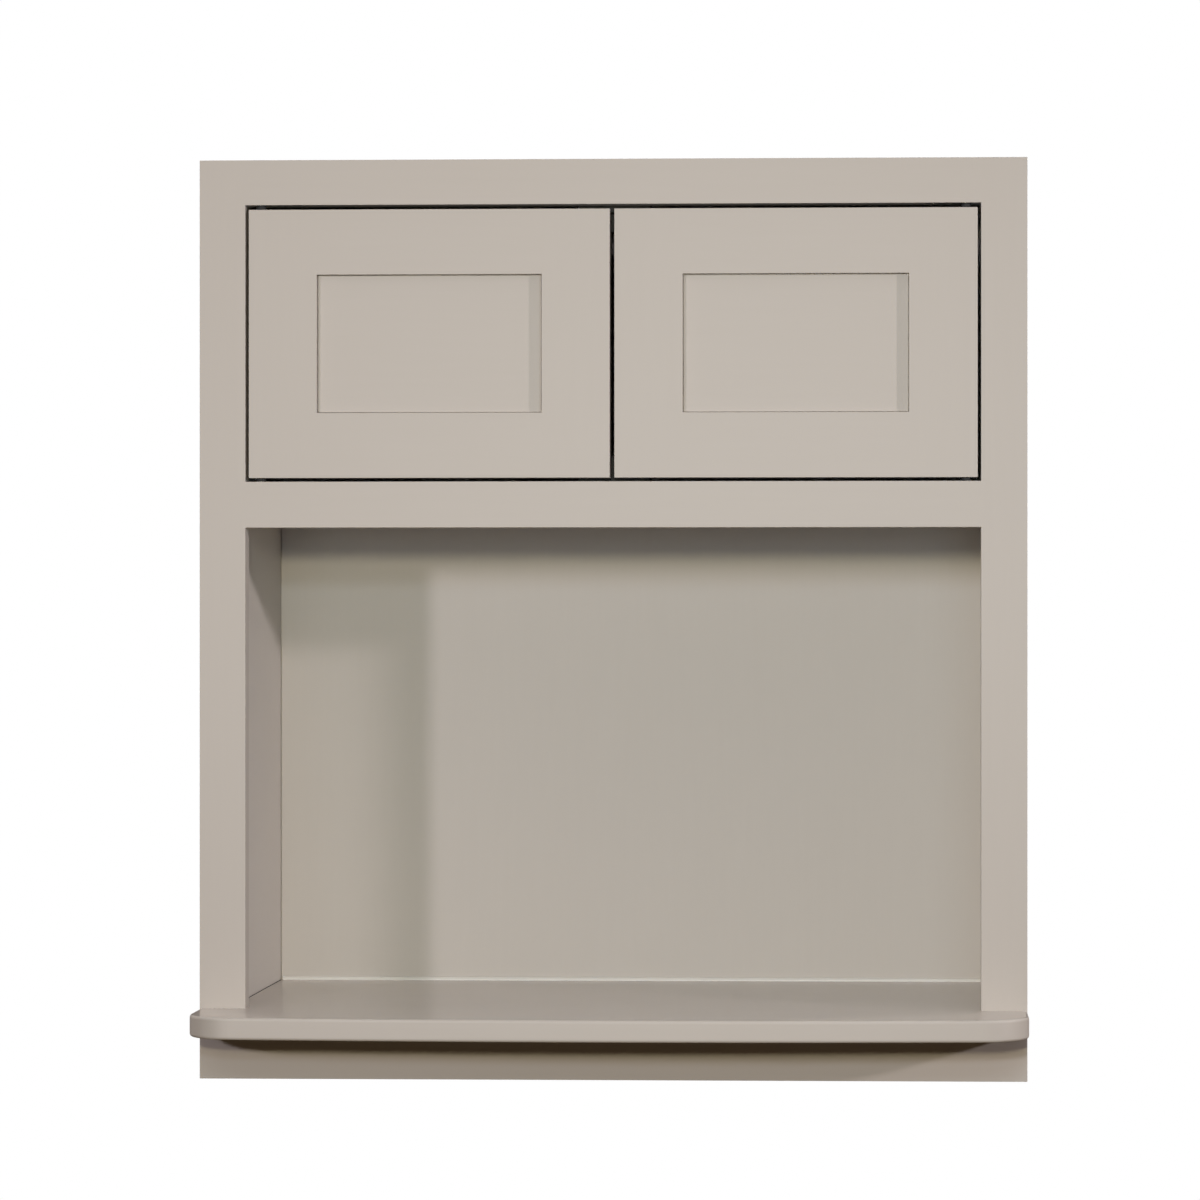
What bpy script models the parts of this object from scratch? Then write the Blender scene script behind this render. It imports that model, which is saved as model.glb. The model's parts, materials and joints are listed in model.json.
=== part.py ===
"""Microwave wall cabinet: two inset doors in a face frame, over an open niche with a bow-front shelf.

Metres, +Z up. The wall is the plane Y = 0, the front faces -Y, and the origin is the middle of the upper
hanging rail's wall face.
"""

import math

import bmesh
import bpy

# Overall sizes
CABINET_WIDTH = 0.6858
CABINET_HEIGHT = 0.7620
CABINET_DEPTH = 0.3048

# Clearances
FIT = 0.0003
DADO_DEPTH = 0.006
EDGE_ROUND = 0.0008

# Face frame
FRAME_THICKNESS = 0.01905
FRAME_STILE = 0.0381
TOP_RAIL = 0.0381
MIDDLE_RAIL = 0.0381
BOTTOM_RAIL = 0.0400
DOOR_OPENING_HEIGHT = 0.2286
FRAME_OVERHANG = 0.00635

# Carcass boards
SIDE_THICKNESS = 0.018
TOP_THICKNESS = 0.018
DECK_THICKNESS = 0.018
BACK_THICKNESS = 0.006
BACK_GROOVE = 0.006
BACK_DROP = 0.004
HANG_RAIL_THICKNESS = 0.012
HANG_RAIL_HEIGHT = 0.075
CLEAT_THICKNESS = 0.018
CLEAT_HEIGHT = 0.022
CLEAT_END_GAP = 0.020

# Microwave shelf
SHELF_THICKNESS = 0.018
SHELF_REACH = 0.096
SHELF_BOW_RISE = 0.014
SHELF_CORNER_RADIUS = 0.040
SHELF_EDGE_ROUND = 0.0025
CORNER_STEPS = 12
BOW_STEPS = 28

# Doors
DOOR_THICKNESS = 0.01905
DOOR_SIDE_GAP = 0.0024
DOOR_MEETING_GAP = 0.0030
DOOR_END_GAP = 0.0030
DOOR_STILE = 0.0570
DOOR_RAIL = 0.0540
PANEL_THICKNESS = 0.0064
PANEL_SETBACK = 0.0055
PANEL_GROOVE = 0.0100
PANEL_FLOAT = 0.0006

# Door pivots
PIVOT_FROM_EDGE = 0.0100
PIVOT_FROM_FACE = 0.0060
PIN_RADIUS = 0.0020
PIN_RUNNING_GAP = 0.00015
PIN_IN_DOOR = 0.0080
PIN_END_GAP = 0.0005
PIN_IN_FRAME = 0.0016
LEAF_LENGTH = 0.0400
LEAF_WIDTH = 0.0080
LEAF_THICKNESS = 0.0020
LEAF_END = 0.0060
WASHER_RADIUS = 0.0042

# Countersunk screws
SCREW_HEAD_RADIUS = 0.0028
SCREW_HEAD_DEPTH = 0.0013
SCREW_RADIUS = 0.0014
SCREW_TIP = 0.0030
LEAF_SCREW_LENGTH = 0.0140
LEAF_SCREW_FROM_END = 0.0080
CATCH_SCREW_LENGTH = 0.0300
CATCH_SCREW_FROM_MIDDLE = 0.0140
CATCH_SCREW_FROM_FACE = 0.0110
SCREW_SIDES = 16

# Magnetic catch at the top, stop block at the bottom
CATCH_WIDTH = 0.0540
CATCH_DEPTH = 0.0160
CATCH_HEIGHT = 0.0160
CATCH_BELOW_DOOR_TOP = 0.0020
CATCH_BLOCK_WIDTH = 0.0600
CATCH_BLOCK_DEPTH = 0.0260
MAGNET_WIDTH = 0.0150
MAGNET_HEIGHT = 0.0100
MAGNET_DEPTH = 0.0060
MAGNET_PROUD = 0.0005
STRIKE_WIDTH = 0.0180
STRIKE_HEIGHT = 0.0140
STRIKE_THICKNESS = 0.0012
STRIKE_FROM_EDGE = 0.0040
STOP_WIDTH = 0.0600
STOP_DEPTH = 0.0180
STOP_HEIGHT = 0.0220
BUMPER_RADIUS = 0.0042
BUMPER_THICKNESS = 0.0018
BUMPER_FROM_MIDDLE = 0.0160
BUMPER_ABOVE_DOOR_FOOT = 0.0100

# Meshing
ROUND_SIDES = 32
EDGE_STEPS = 2
CUT_PAST = 0.001
WELD = 1e-6
SMOOTH_ANGLE = math.radians(40)
FLAT_ANGLE = math.radians(0.01)

# Finishes: colour, roughness, metallic
PAINT = ("taupe paint", (0.48, 0.43, 0.38, 1.0), 0.45, 0.0)
PLYWOOD = ("raw plywood", (0.66, 0.50, 0.33, 1.0), 0.65, 0.0)
STEEL = ("zinc plated steel", (0.60, 0.60, 0.58, 1.0), 0.35, 1.0)
NYLON = ("black nylon", (0.03, 0.03, 0.03, 1.0), 0.45, 0.0)
FERRITE = ("magnet", (0.10, 0.10, 0.10, 1.0), 0.55, 0.0)
SILICONE = ("clear silicone", (0.75, 0.74, 0.70, 1.0), 0.30, 0.0)

# Levels and planes that the pieces share
HANG_LEVEL = CABINET_HEIGHT - TOP_THICKNESS - FIT - HANG_RAIL_HEIGHT / 2
FOOT = -HANG_LEVEL
HEAD = FOOT + CABINET_HEIGHT
HALF_WIDTH = CABINET_WIDTH / 2
SIDE_OUTSIDE = HALF_WIDTH - FRAME_OVERHANG
SIDE_INSIDE = SIDE_OUTSIDE - SIDE_THICKNESS
OPENING_HALF = HALF_WIDTH - FRAME_STILE
FACE = -CABINET_DEPTH
FRAME_BACK = FACE + FRAME_THICKNESS
CARCASS_FRONT = FRAME_BACK + FIT
HANG_RAIL_FACE = -HANG_RAIL_THICKNESS
BACK_REAR = HANG_RAIL_FACE - FIT
BACK_FACE = BACK_REAR - BACK_THICKNESS
SHELF_UNDER = FOOT + BOTTOM_RAIL + FIT
SHELF_TOP = SHELF_UNDER + SHELF_THICKNESS
TOP_UNDER = HEAD - TOP_THICKNESS
OPENING_TOP = HEAD - TOP_RAIL
OPENING_FOOT = OPENING_TOP - DOOR_OPENING_HEIGHT
DECK_TOP = OPENING_FOOT
DECK_UNDER = DECK_TOP - DECK_THICKNESS
DOOR_FOOT = OPENING_FOOT + DOOR_END_GAP
DOOR_TOP = OPENING_TOP - DOOR_END_GAP
DOOR_BACK = FACE + DOOR_THICKNESS
DOOR_HINGE_EDGE = OPENING_HALF - DOOR_SIDE_GAP
DOOR_FREE_EDGE = DOOR_MEETING_GAP / 2
PIVOT_X = DOOR_HINGE_EDGE - PIVOT_FROM_EDGE
PIVOT_Y = FACE + PIVOT_FROM_FACE


def clear_scene():
    for old in list(bpy.data.objects):
        bpy.data.objects.remove(old, do_unlink=True)


def new_collection(name):
    made = bpy.data.collections.new(name)
    bpy.context.scene.collection.children.link(made)
    return made


def move_to(obj, collection):
    for holder in list(obj.users_collection):
        holder.objects.unlink(obj)
    collection.objects.link(obj)


def finish_of(finish):
    name, colour, roughness, metallic = finish
    material = bpy.data.materials.get(name) or bpy.data.materials.new(name)
    material.use_nodes = True
    shader = material.node_tree.nodes["Principled BSDF"]
    shader.inputs["Base Color"].default_value = colour
    shader.inputs["Roughness"].default_value = roughness
    shader.inputs["Metallic"].default_value = metallic
    return material


def place(obj, name, finish, parent):
    """Names a made object, finishes it and hangs it on its parent without moving it."""
    obj.name = name
    obj.data.name = name
    obj.data.materials.append(finish_of(finish))
    move_to(obj, PARTS)
    if parent:
        obj.parent = parent
        obj.location = obj.location - parent.location
    return obj


def cube_between(low, high):
    """A cube primitive that fills the space between two corners, with its scale applied."""
    centre = [(a + b) / 2 for a, b in zip(low, high)]
    bpy.ops.mesh.primitive_cube_add(size=1, location=centre)
    obj = bpy.context.object
    obj.scale = [b - a for a, b in zip(low, high)]
    bpy.ops.object.transform_apply(location=False, rotation=False, scale=True)
    return obj


def board(name, low, high, finish=PAINT, parent=None, rounding=EDGE_ROUND):
    obj = place(cube_between(low, high), name, finish, parent)
    bevel = obj.modifiers.new("eased edges", "BEVEL")
    bevel.width = rounding
    bevel.segments = EDGE_STEPS
    return obj


def cylinder(name, radius, low, high, x, y, finish, parent=None):
    """An upright round bar between two heights."""
    bpy.ops.mesh.primitive_cylinder_add(
        vertices=ROUND_SIDES, radius=radius, depth=high - low, location=(x, y, (low + high) / 2)
    )
    obj = place(bpy.context.object, name, finish, parent)
    obj.data.shade_smooth()
    obj.data.set_sharp_from_angle(angle=SMOOTH_ANGLE)
    return obj


def as_cutter(obj, name):
    obj.name = name
    obj.hide_render = True
    obj.display_type = "WIRE"
    move_to(obj, CUTTERS)
    return obj


def cut_box(target, low, high):
    cutter = as_cutter(cube_between(low, high), "cut in " + target.name)
    cut_with(target, cutter)


def cut_round(target, radius, low, high, x, y):
    bpy.ops.mesh.primitive_cylinder_add(
        vertices=ROUND_SIDES, radius=radius, depth=high - low, location=(x, y, (low + high) / 2)
    )
    cut_with(target, as_cutter(bpy.context.object, "hole in " + target.name))


def turned(profile, location, points_up):
    """A shape spun about its own Z from (radius, height) points, listed from the top down."""
    mesh = bpy.data.meshes.new("turned profile")
    corners = [(radius, 0.0, height) for radius, height in profile]
    mesh.from_pydata(corners, [(i, i + 1) for i in range(len(corners) - 1)], [])
    obj = bpy.data.objects.new("turned", mesh)
    bpy.context.scene.collection.objects.link(obj)
    obj.location = location
    obj.rotation_euler.x = math.pi if points_up else 0.0
    spin = obj.modifiers.new("turn", "SCREW")
    spin.steps = SCREW_SIDES
    spin.render_steps = SCREW_SIDES
    spin.use_merge_vertices = True
    spin.merge_threshold = WELD
    return obj


def drive_screw(name, location, length, points_up, targets, finish, parent=None):
    """A countersunk screw with its head at the location, and its hole in every piece that it passes."""
    profile = [
        (0.0, 0.0),
        (SCREW_HEAD_RADIUS, 0.0),
        (SCREW_RADIUS, -SCREW_HEAD_DEPTH),
        (SCREW_RADIUS, SCREW_TIP - length),
        (0.0, -length),
    ]
    hole = [
        (0.0, CUT_PAST),
        (SCREW_HEAD_RADIUS + FIT, CUT_PAST),
        (SCREW_HEAD_RADIUS + FIT, 0.0),
        (SCREW_RADIUS + FIT, -SCREW_HEAD_DEPTH),
        (SCREW_RADIUS + FIT, -length - FIT),
        (0.0, -length - FIT),
    ]
    place(turned(profile, location, points_up), name, finish, parent)
    for target in targets:
        cut_with(target, as_cutter(turned(hole, location, points_up), "screw hole in " + target.name))


def cut_with(target, cutter):
    cut = target.modifiers.new(cutter.name, "BOOLEAN")
    cut.operation = "DIFFERENCE"
    cut.object = cutter


def across(side, near, far):
    """Two X values, lower first, for a piece on the left (side -1) or on the right (side 1)."""
    return sorted((side * near, side * far))


# Carcass
def make_side(side, name):
    x0, x1 = across(side, SIDE_INSIDE, SIDE_OUTSIDE)
    panel = board(name + "_side_panel", (x0, CARCASS_FRONT, FOOT), (x1, 0.0, HEAD))
    d0, d1 = across(side, SIDE_INSIDE - CUT_PAST, SIDE_INSIDE + DADO_DEPTH)
    cut_box(panel, (d0, CARCASS_FRONT - CUT_PAST, TOP_UNDER - FIT), (d1, CUT_PAST, HEAD + CUT_PAST))
    cut_box(panel, (d0, CARCASS_FRONT - CUT_PAST, DECK_UNDER - FIT), (d1, BACK_FACE, DECK_TOP + FIT))
    g0, g1 = across(side, SIDE_INSIDE - CUT_PAST, SIDE_INSIDE + BACK_GROOVE)
    groove_top = TOP_UNDER - FIT + CUT_PAST
    cut_box(panel, (g0, BACK_FACE - FIT, FOOT - CUT_PAST), (g1, BACK_REAR + FIT, groove_top))


def make_top_and_deck():
    reach = SIDE_INSIDE + DADO_DEPTH - FIT
    board("top_panel", (-reach, CARCASS_FRONT, TOP_UNDER), (reach, 0.0, HEAD), PLYWOOD)
    board("compartment_deck", (-reach, CARCASS_FRONT, DECK_UNDER), (reach, BACK_FACE - FIT, DECK_TOP))


def make_back():
    reach = SIDE_INSIDE + BACK_GROOVE - FIT
    foot = SHELF_UNDER - BACK_DROP
    board("back_panel", (-reach, BACK_FACE, foot), (reach, BACK_REAR, TOP_UNDER - FIT))
    half = SIDE_INSIDE - FIT
    levels = {
        "upper_hanging_rail": TOP_UNDER - FIT - HANG_RAIL_HEIGHT,
        "lower_hanging_rail": foot,
    }
    for name, low in levels.items():
        board(name, (-half, HANG_RAIL_FACE, low), (half, 0.0, low + HANG_RAIL_HEIGHT), PLYWOOD)


def make_cleat(side, name):
    x0, x1 = across(side, SIDE_INSIDE - FIT - CLEAT_THICKNESS, SIDE_INSIDE - FIT)
    top = SHELF_UNDER - FIT
    front = CARCASS_FRONT + CLEAT_END_GAP
    rear = BACK_FACE - CLEAT_END_GAP
    board(name + "_shelf_cleat", (x0, front, top - CLEAT_HEIGHT), (x1, rear, top), PLYWOOD)


def shelf_half_outline():
    """Right half of the shelf from above, from the middle of its front round to its rear corner."""
    front = FACE - SHELF_REACH
    bow_radius = (HALF_WIDTH**2 + SHELF_BOW_RISE**2) / (2 * SHELF_BOW_RISE)
    bow_centre = front + bow_radius
    corner_x = HALF_WIDTH - SHELF_CORNER_RADIUS
    corner_y = bow_centre - math.sqrt((bow_radius - SHELF_CORNER_RADIUS) ** 2 - corner_x**2)
    meet = math.atan2(corner_x, bow_centre - corner_y)
    points = []
    for step in range(BOW_STEPS // 2):
        turn = meet * step / (BOW_STEPS // 2)
        points.append((bow_radius * math.sin(turn), bow_centre - bow_radius * math.cos(turn)))
    for step in range(CORNER_STEPS + 1):
        turn = meet + (math.pi / 2 - meet) * step / CORNER_STEPS
        x = corner_x + SHELF_CORNER_RADIUS * math.sin(turn)
        points.append((x, corner_y - SHELF_CORNER_RADIUS * math.cos(turn)))
    points += [
        (HALF_WIDTH, FACE - FIT),
        (OPENING_HALF - FIT, FACE - FIT),
        (OPENING_HALF - FIT, CARCASS_FRONT),
        (SIDE_INSIDE - FIT, CARCASS_FRONT),
        (SIDE_INSIDE - FIT, BACK_FACE - FIT),
    ]
    return points


def make_shelf():
    right = shelf_half_outline()
    left = [(-x, y) for x, y in reversed(right[1:])]
    outline = bpy.data.curves.new("shelf outline", "CURVE")
    outline.dimensions = "2D"
    outline.fill_mode = "BOTH"
    outline.extrude = SHELF_THICKNESS / 2
    spline = outline.splines.new("POLY")
    points = right + left
    spline.points.add(len(points) - 1)
    for point, (x, y) in zip(spline.points, points):
        point.co = (x, y, 0.0, 1.0)
    spline.use_cyclic_u = True
    drawn = bpy.data.objects.new("shelf outline", outline)
    PARTS.objects.link(drawn)
    drawn.location.z = (SHELF_UNDER + SHELF_TOP) / 2
    bpy.context.view_layer.update()
    mesh = bpy.data.meshes.new_from_object(drawn.evaluated_get(bpy.context.evaluated_depsgraph_get()))
    shelf = bpy.data.objects.new("microwave_shelf", mesh)
    bpy.context.scene.collection.objects.link(shelf)
    shelf.matrix_world = drawn.matrix_world
    bpy.data.objects.remove(drawn, do_unlink=True)
    mesh.materials.clear()
    place(shelf, "microwave_shelf", PAINT, None)
    ease_front(shelf)


def ease_front(shelf):
    """Closes the shelf's mesh and rounds the top and bottom edges of what stands in front of the frame."""
    work = bmesh.new()
    work.from_mesh(shelf.data)
    bmesh.ops.remove_doubles(work, verts=work.verts, dist=WELD)
    bmesh.ops.dissolve_limit(
        work, angle_limit=FLAT_ANGLE, verts=work.verts, edges=work.edges, delimit={"NORMAL"}
    )
    weight = work.edges.layers.float.new("bevel_weight_edge")
    for edge in work.edges:
        a, b = (vert.co for vert in edge.verts)
        level = abs(a.z - b.z) < WELD
        ahead = min(a.y, b.y) < FACE - 2 * FIT and max(a.y, b.y) < FACE
        edge[weight] = float(level and ahead)
    work.to_mesh(shelf.data)
    work.free()
    bevel = shelf.modifiers.new("rounded front", "BEVEL")
    bevel.limit_method = "WEIGHT"
    bevel.width = SHELF_EDGE_ROUND
    bevel.segments = EDGE_STEPS


# Face frame
def make_face_frame():
    for side, name in SIDES:
        x0, x1 = across(side, OPENING_HALF, HALF_WIDTH)
        board(name + "_face_stile", (x0, FACE, FOOT), (x1, FRAME_BACK, HEAD))
    half = OPENING_HALF - FIT
    rails = {
        "top_face_rail": (OPENING_TOP, HEAD),
        "middle_face_rail": (OPENING_FOOT - MIDDLE_RAIL, OPENING_FOOT),
        "bottom_face_rail": (FOOT, FOOT + BOTTOM_RAIL),
    }
    return {
        name: board(name, (-half, FACE, low), (half, FRAME_BACK, high))
        for name, (low, high) in rails.items()
    }


# Doors
def make_door(side, name):
    """One door, on an empty that stands on its pivot line. Gives back the empty and the stiles."""
    hinge_line = bpy.data.objects.new(name + " door pivot line", None)
    hinge_line.location = (side * PIVOT_X, PIVOT_Y, (DOOR_FOOT + DOOR_TOP) / 2)
    PARTS.objects.link(hinge_line)
    bpy.context.view_layer.update()

    stile_spans = {
        "hinge": (DOOR_HINGE_EDGE - DOOR_STILE, DOOR_HINGE_EDGE),
        "meeting": (DOOR_FREE_EDGE, DOOR_FREE_EDGE + DOOR_STILE),
    }
    panel_face = FACE + PANEL_SETBACK
    groove = (panel_face - FIT, panel_face + PANEL_THICKNESS + FIT)
    stiles = {}
    for kind, (near, far) in stile_spans.items():
        x0, x1 = across(side, near, far)
        label = f"{name}_door_{kind}_stile"
        stile = board(label, (x0, FACE, DOOR_FOOT), (x1, DOOR_BACK, DOOR_TOP), PAINT, hinge_line)
        inner, outward = (near, 1) if kind == "hinge" else (far, -1)
        g0, g1 = across(side, inner - outward * CUT_PAST, inner + outward * PANEL_GROOVE)
        cut_box(stile, (g0, groove[0], DOOR_FOOT - CUT_PAST), (g1, groove[1], DOOR_TOP + CUT_PAST))
        stiles[kind] = stile

    rail_near = DOOR_FREE_EDGE + DOOR_STILE
    rail_far = DOOR_HINGE_EDGE - DOOR_STILE
    tenon = PANEL_GROOVE - PANEL_FLOAT
    r0, r1 = across(side, rail_near - tenon, rail_far + tenon)
    for kind, low in (("top", DOOR_TOP - DOOR_RAIL), ("bottom", DOOR_FOOT)):
        label = f"{name}_door_{kind}_rail"
        rail = board(label, (r0, FACE, low), (r1, DOOR_BACK, low + DOOR_RAIL), PAINT, hinge_line)
        for x0, x1 in (
            across(side, rail_near - tenon - CUT_PAST, rail_near + FIT),
            across(side, rail_far - FIT, rail_far + tenon + CUT_PAST),
        ):
            for y0, y1 in ((FACE - CUT_PAST, groove[0] + FIT), (groove[1] - FIT, DOOR_BACK + CUT_PAST)):
                cut_box(rail, (x0, y0, low - CUT_PAST), (x1, y1, low + DOOR_RAIL + CUT_PAST))
        inner, outward = (low, 1) if kind == "top" else (low + DOOR_RAIL, -1)
        z0, z1 = sorted((inner - outward * CUT_PAST, inner + outward * PANEL_GROOVE))
        cut_box(rail, (r0 - CUT_PAST, groove[0], z0), (r1 + CUT_PAST, groove[1], z1))

    p0, p1 = across(side, rail_near - tenon, rail_far + tenon)
    board(
        name + "_door_panel",
        (p0, groove[0] + FIT, DOOR_FOOT + DOOR_RAIL - tenon),
        (p1, groove[1] - FIT, DOOR_TOP - DOOR_RAIL + tenon),
        PAINT,
        hinge_line,
        FIT,
    )
    return hinge_line, stiles


def make_pivot(side, name, level, hinge_line, stile, rail):
    """A frame leaf let into the rail, a door leaf let into the door, and a pin and washer between them."""
    upward = 1 if level == "upper" else -1
    door_face = DOOR_TOP if upward > 0 else DOOR_FOOT
    rail_face = OPENING_TOP if upward > 0 else OPENING_FOOT
    x = side * PIVOT_X
    near = PIVOT_X - LEAF_LENGTH + LEAF_END
    far = PIVOT_X + LEAF_END
    y0, y1 = PIVOT_Y - LEAF_WIDTH / 2, PIVOT_Y + LEAF_WIDTH / 2
    label = f"{name}_{level}_"

    def span(start, reach):
        return sorted((start, start + upward * reach))

    for owner, target, face, into, parent in (
        ("frame", rail, rail_face, 1, None),
        ("door", stile, door_face, -1, hinge_line),
    ):
        z0, z1 = span(face, into * LEAF_THICKNESS)
        x0, x1 = across(side, near, far)
        leaf = board(label + owner + "_leaf", (x0, y0, z0), (x1, y1, z1), STEEL, parent, FIT)
        cut_round(leaf, PIN_RADIUS + PIN_RUNNING_GAP, z0 - CUT_PAST, z1 + CUT_PAST, x, PIVOT_Y)
        m0, m1 = across(side, near - FIT, far + FIT)
        p0, p1 = span(face - upward * into * CUT_PAST, into * (CUT_PAST + LEAF_THICKNESS + FIT))
        cut_box(target, (m0, y0 - FIT, p0), (m1, y1 + FIT, p1))
        screw_at = (side * (near + LEAF_SCREW_FROM_END), PIVOT_Y, face)
        points_up = upward * into > 0
        screw = label + owner + "_leaf_screw"
        drive_screw(screw, screw_at, LEAF_SCREW_LENGTH, points_up, (leaf, target), STEEL, parent)
    pin_tip = door_face - upward * PIN_IN_DOOR
    pin_root = rail_face + upward * (LEAF_THICKNESS + PIN_IN_FRAME)
    low, high = sorted((pin_tip, pin_root))
    cylinder(label + "pivot_pin", PIN_RADIUS, low, high, x, PIVOT_Y, STEEL)
    for target, start, end in (
        (stile, door_face, pin_tip - upward * PIN_END_GAP),
        (rail, rail_face, pin_root + upward * FIT),
    ):
        h0, h1 = sorted((start, end))
        cut_round(target, PIN_RADIUS + PIN_RUNNING_GAP, h0, h1, x, PIVOT_Y)
    w0, w1 = sorted((door_face + upward * FIT, rail_face - upward * FIT))
    washer = cylinder(label + "pivot_washer", WASHER_RADIUS, w0, w1, x, PIVOT_Y, NYLON)
    cut_round(washer, PIN_RADIUS + PIN_RUNNING_GAP, w0 - CUT_PAST, w1 + CUT_PAST, x, PIVOT_Y)


# Closing gear
def make_catch():
    magnet_face = DOOR_BACK + FIT + STRIKE_THICKNESS + FIT
    housing_face = magnet_face + MAGNET_PROUD
    top = DOOR_TOP - CATCH_BELOW_DOOR_TOP
    half = CATCH_WIDTH / 2
    housing = board(
        "catch_housing",
        (-half, housing_face, top - CATCH_HEIGHT),
        (half, housing_face + CATCH_DEPTH, top),
        NYLON,
    )
    half = CATCH_BLOCK_WIDTH / 2
    block = board(
        "catch_block",
        (-half, housing_face, top + FIT),
        (half, housing_face + CATCH_BLOCK_DEPTH, TOP_UNDER - FIT),
        NYLON,
    )
    screw_y = housing_face + CATCH_SCREW_FROM_FACE
    for side, name in SIDES:
        screw_at = (side * CATCH_SCREW_FROM_MIDDLE, screw_y, top - CATCH_HEIGHT)
        drive_screw(name + "_catch_screw", screw_at, CATCH_SCREW_LENGTH, True, (housing, block), STEEL)
    level = top - CATCH_HEIGHT / 2
    return housing, magnet_face, level


def make_magnet_and_strike(side, name, housing, magnet_face, level, hinge_line):
    middle = DOOR_FREE_EDGE + STRIKE_FROM_EDGE + STRIKE_WIDTH / 2
    x0, x1 = across(side, middle - MAGNET_WIDTH / 2, middle + MAGNET_WIDTH / 2)
    z0, z1 = level - MAGNET_HEIGHT / 2, level + MAGNET_HEIGHT / 2
    rear = magnet_face + MAGNET_DEPTH
    board(name + "_catch_magnet", (x0, magnet_face, z0), (x1, rear, z1), FERRITE, None, FIT)
    cut_box(housing, (x0 - FIT, magnet_face - CUT_PAST, z0 - FIT), (x1 + FIT, rear + FIT, z1 + FIT))
    x0, x1 = across(side, middle - STRIKE_WIDTH / 2, middle + STRIKE_WIDTH / 2)
    board(
        name + "_strike_plate",
        (x0, DOOR_BACK + FIT, level - STRIKE_HEIGHT / 2),
        (x1, DOOR_BACK + FIT + STRIKE_THICKNESS, level + STRIKE_HEIGHT / 2),
        STEEL,
        hinge_line,
        FIT,
    )


def make_stop():
    front = DOOR_BACK + FIT + BUMPER_THICKNESS + FIT
    half = STOP_WIDTH / 2
    low = DECK_TOP + FIT
    board("door_stop_block", (-half, front, low), (half, front + STOP_DEPTH, low + STOP_HEIGHT), NYLON)
    level = DOOR_FOOT + BUMPER_ABOVE_DOOR_FOOT
    for side, name in SIDES:
        bpy.ops.mesh.primitive_cylinder_add(
            vertices=ROUND_SIDES,
            radius=BUMPER_RADIUS,
            depth=BUMPER_THICKNESS,
            location=(side * BUMPER_FROM_MIDDLE, front - FIT - BUMPER_THICKNESS / 2, level),
            rotation=(math.pi / 2, 0, 0),
        )
        bumper = place(bpy.context.object, name + "_bumper", SILICONE, None)
        bumper.data.shade_smooth()
        bumper.data.set_sharp_from_angle(angle=SMOOTH_ANGLE)


SIDES = ((-1, "left"), (1, "right"))
clear_scene()
PARTS = new_collection("Microwave wall cabinet")
CUTTERS = new_collection("Cutters")

make_top_and_deck()
make_back()
make_shelf()
face_rails = make_face_frame()
catch_housing, catch_face, catch_level = make_catch()
make_stop()
for side_sign, side_name in SIDES:
    make_side(side_sign, side_name)
    make_cleat(side_sign, side_name)
    door_line, door_stiles = make_door(side_sign, side_name)
    for pivot_level, pivot_rail in (("upper", "top_face_rail"), ("lower", "middle_face_rail")):
        rail = face_rails[pivot_rail]
        make_pivot(side_sign, side_name, pivot_level, door_line, door_stiles["hinge"], rail)
    make_magnet_and_strike(side_sign, side_name, catch_housing, catch_face, catch_level, door_line)
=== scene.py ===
# %% [markdown]
# # A painted microwave wall cabinet
# The CAD model gives every board, pivot and screw at its real size and place. This lesson dresses it:
# the painted boards are modelled again with closed joints and soft arrises, and each finish is built
# from nodes. The frame loads first, because every later cell takes its sizes from it.

# %% Load the cabinet
import json
import math

import bmesh
import bpy
from mathutils import Matrix, Vector

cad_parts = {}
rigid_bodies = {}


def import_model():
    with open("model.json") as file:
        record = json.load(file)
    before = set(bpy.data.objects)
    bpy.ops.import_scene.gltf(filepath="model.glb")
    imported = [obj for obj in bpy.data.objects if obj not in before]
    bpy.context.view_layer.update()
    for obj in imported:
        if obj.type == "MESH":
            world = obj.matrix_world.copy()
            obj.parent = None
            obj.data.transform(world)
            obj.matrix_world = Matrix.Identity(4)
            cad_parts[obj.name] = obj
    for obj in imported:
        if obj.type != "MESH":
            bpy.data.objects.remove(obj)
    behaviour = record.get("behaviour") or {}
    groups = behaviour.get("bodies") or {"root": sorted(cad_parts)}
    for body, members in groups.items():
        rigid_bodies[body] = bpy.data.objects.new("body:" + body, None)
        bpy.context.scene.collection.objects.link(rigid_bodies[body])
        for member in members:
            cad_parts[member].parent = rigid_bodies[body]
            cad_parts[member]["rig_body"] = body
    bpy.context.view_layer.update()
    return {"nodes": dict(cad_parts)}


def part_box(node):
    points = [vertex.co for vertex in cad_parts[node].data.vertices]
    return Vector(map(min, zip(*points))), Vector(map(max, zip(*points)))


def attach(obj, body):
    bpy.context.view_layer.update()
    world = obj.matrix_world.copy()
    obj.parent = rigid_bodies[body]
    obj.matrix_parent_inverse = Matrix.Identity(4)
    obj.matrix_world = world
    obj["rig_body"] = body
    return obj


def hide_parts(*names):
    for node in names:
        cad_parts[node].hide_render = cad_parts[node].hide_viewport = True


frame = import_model()
nodes = frame["nodes"]

# %% [markdown]
# ## Sizes read from the frame
# A cabinet is laid out from a few planes: the face of the frame, the opening between its stiles, the
# shelf. They could be typed in again, but reading them from the loaded solids keeps both models in
# step.

# %% Read the main planes
left_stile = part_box("left_face_stile")
right_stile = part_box("right_face_stile")
shelf_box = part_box("microwave_shelf")
back_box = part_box("back_panel")
side_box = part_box("right_side_panel")

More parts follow.
